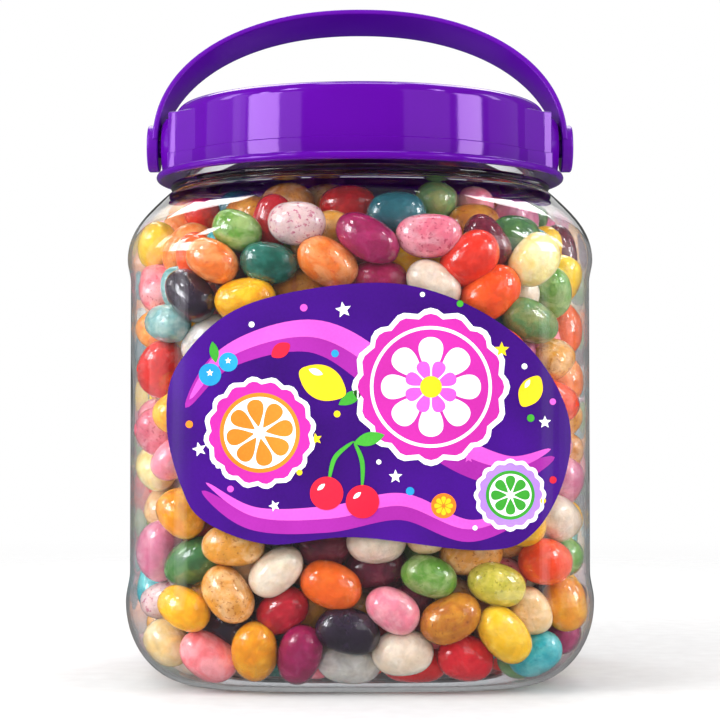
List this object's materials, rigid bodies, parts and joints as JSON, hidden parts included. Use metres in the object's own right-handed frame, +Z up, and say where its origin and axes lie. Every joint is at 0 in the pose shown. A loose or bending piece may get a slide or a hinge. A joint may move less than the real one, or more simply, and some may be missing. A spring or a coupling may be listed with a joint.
{
  "type": "jar of jelly beans",
  "caption": "Clear square-shouldered plastic jar full of mixed jelly beans, with a violet screw lid and a swinging carry handle.",
  "frame": {"origin": "the middle of the base, on the surface that the jar stands on", "axes": "+Z up through the lid, -Y out of the labelled front, X along the handle's pivot axis"},
  "size_m": [0.1208, 0.1208, 0.1794],
  "materials": {
    "clear_pet": "clear blown PET, glossy",
    "beans": "polished sugar shells in mixed fruit colours",
    "label_film": "printed film, satin gloss",
    "violet_lid": "moulded violet polypropylene, glossy",
    "violet_handle": "moulded violet polypropylene, glossy"
  },
  "bodies": {
    "filled_jar": {"jar": "clear_pet", "beans": "beans", "label": "label_film", "lid": "violet_lid"},
    "carry_handle": {"handle": "violet_handle"}
  },
  "joints": [
    {"name": "handle_swing", "type": "hinge", "parent": "filled_jar", "child": "carry_handle", "pos_m": [0, 0, 0.1402], "axis": [1, 0, 0], "range_deg": [-23, 59]}
  ]
}
